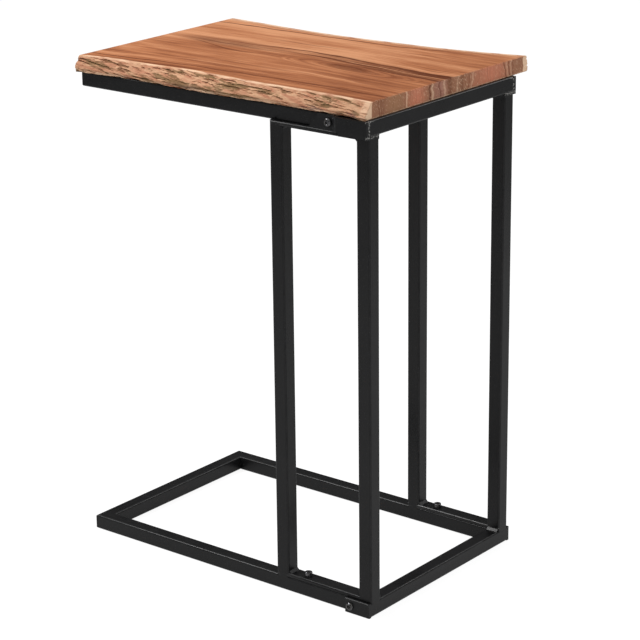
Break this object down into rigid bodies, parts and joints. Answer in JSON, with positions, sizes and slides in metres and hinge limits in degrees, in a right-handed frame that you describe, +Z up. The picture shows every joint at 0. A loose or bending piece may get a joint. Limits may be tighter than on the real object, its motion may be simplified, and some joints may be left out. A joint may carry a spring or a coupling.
{
  "type": "c shaped side table",
  "caption": "C shaped side table: a live edge wooden slab on a cantilevered frame of black square steel tube, open at one end so that its base slides under a seat.",
  "frame": {"origin": "on the floor, under the middle of the whole table", "axes": "+Z up, X along the slab with the open end at -X and the posts at +X, -Y towards the bark edge of the slab"},
  "size_m": [0.461, 0.3392, 0.64],
  "materials": {
    "wood": "satin, oiled",
    "frame_steel": "satin black",
    "bolt_steel": "black oxide",
    "plated_steel": "zinc plated"
  },
  "bodies": {
    "root": {"slab": "wood", "top_front_rail": "frame_steel", "top_back_rail": "frame_steel", "top_open_rail": "frame_steel", "top_end_rail": "frame_steel", "base_front_rail": "frame_steel", "base_back_rail": "frame_steel", "base_open_rail": "frame_steel", "base_end_rail": "frame_steel", "front_mid_post": "frame_steel", "front_corner_post": "frame_steel", "back_mid_post": "frame_steel", "back_corner_post": "frame_steel", "top_front_bar": "frame_steel", "top_back_bar": "frame_steel", "base_front_bar": "frame_steel", "base_back_bar": "frame_steel", "top_front_lug": "frame_steel", "top_back_lug": "frame_steel", "base_front_lug": "frame_steel", "base_back_lug": "frame_steel", "button_bolts": "bolt_steel", "cap_bolts": "bolt_steel", "flat_bolts": "bolt_steel", "weld_nuts": "plated_steel", "slab_screws": "plated_steel"}
  },
  "joints": []
}
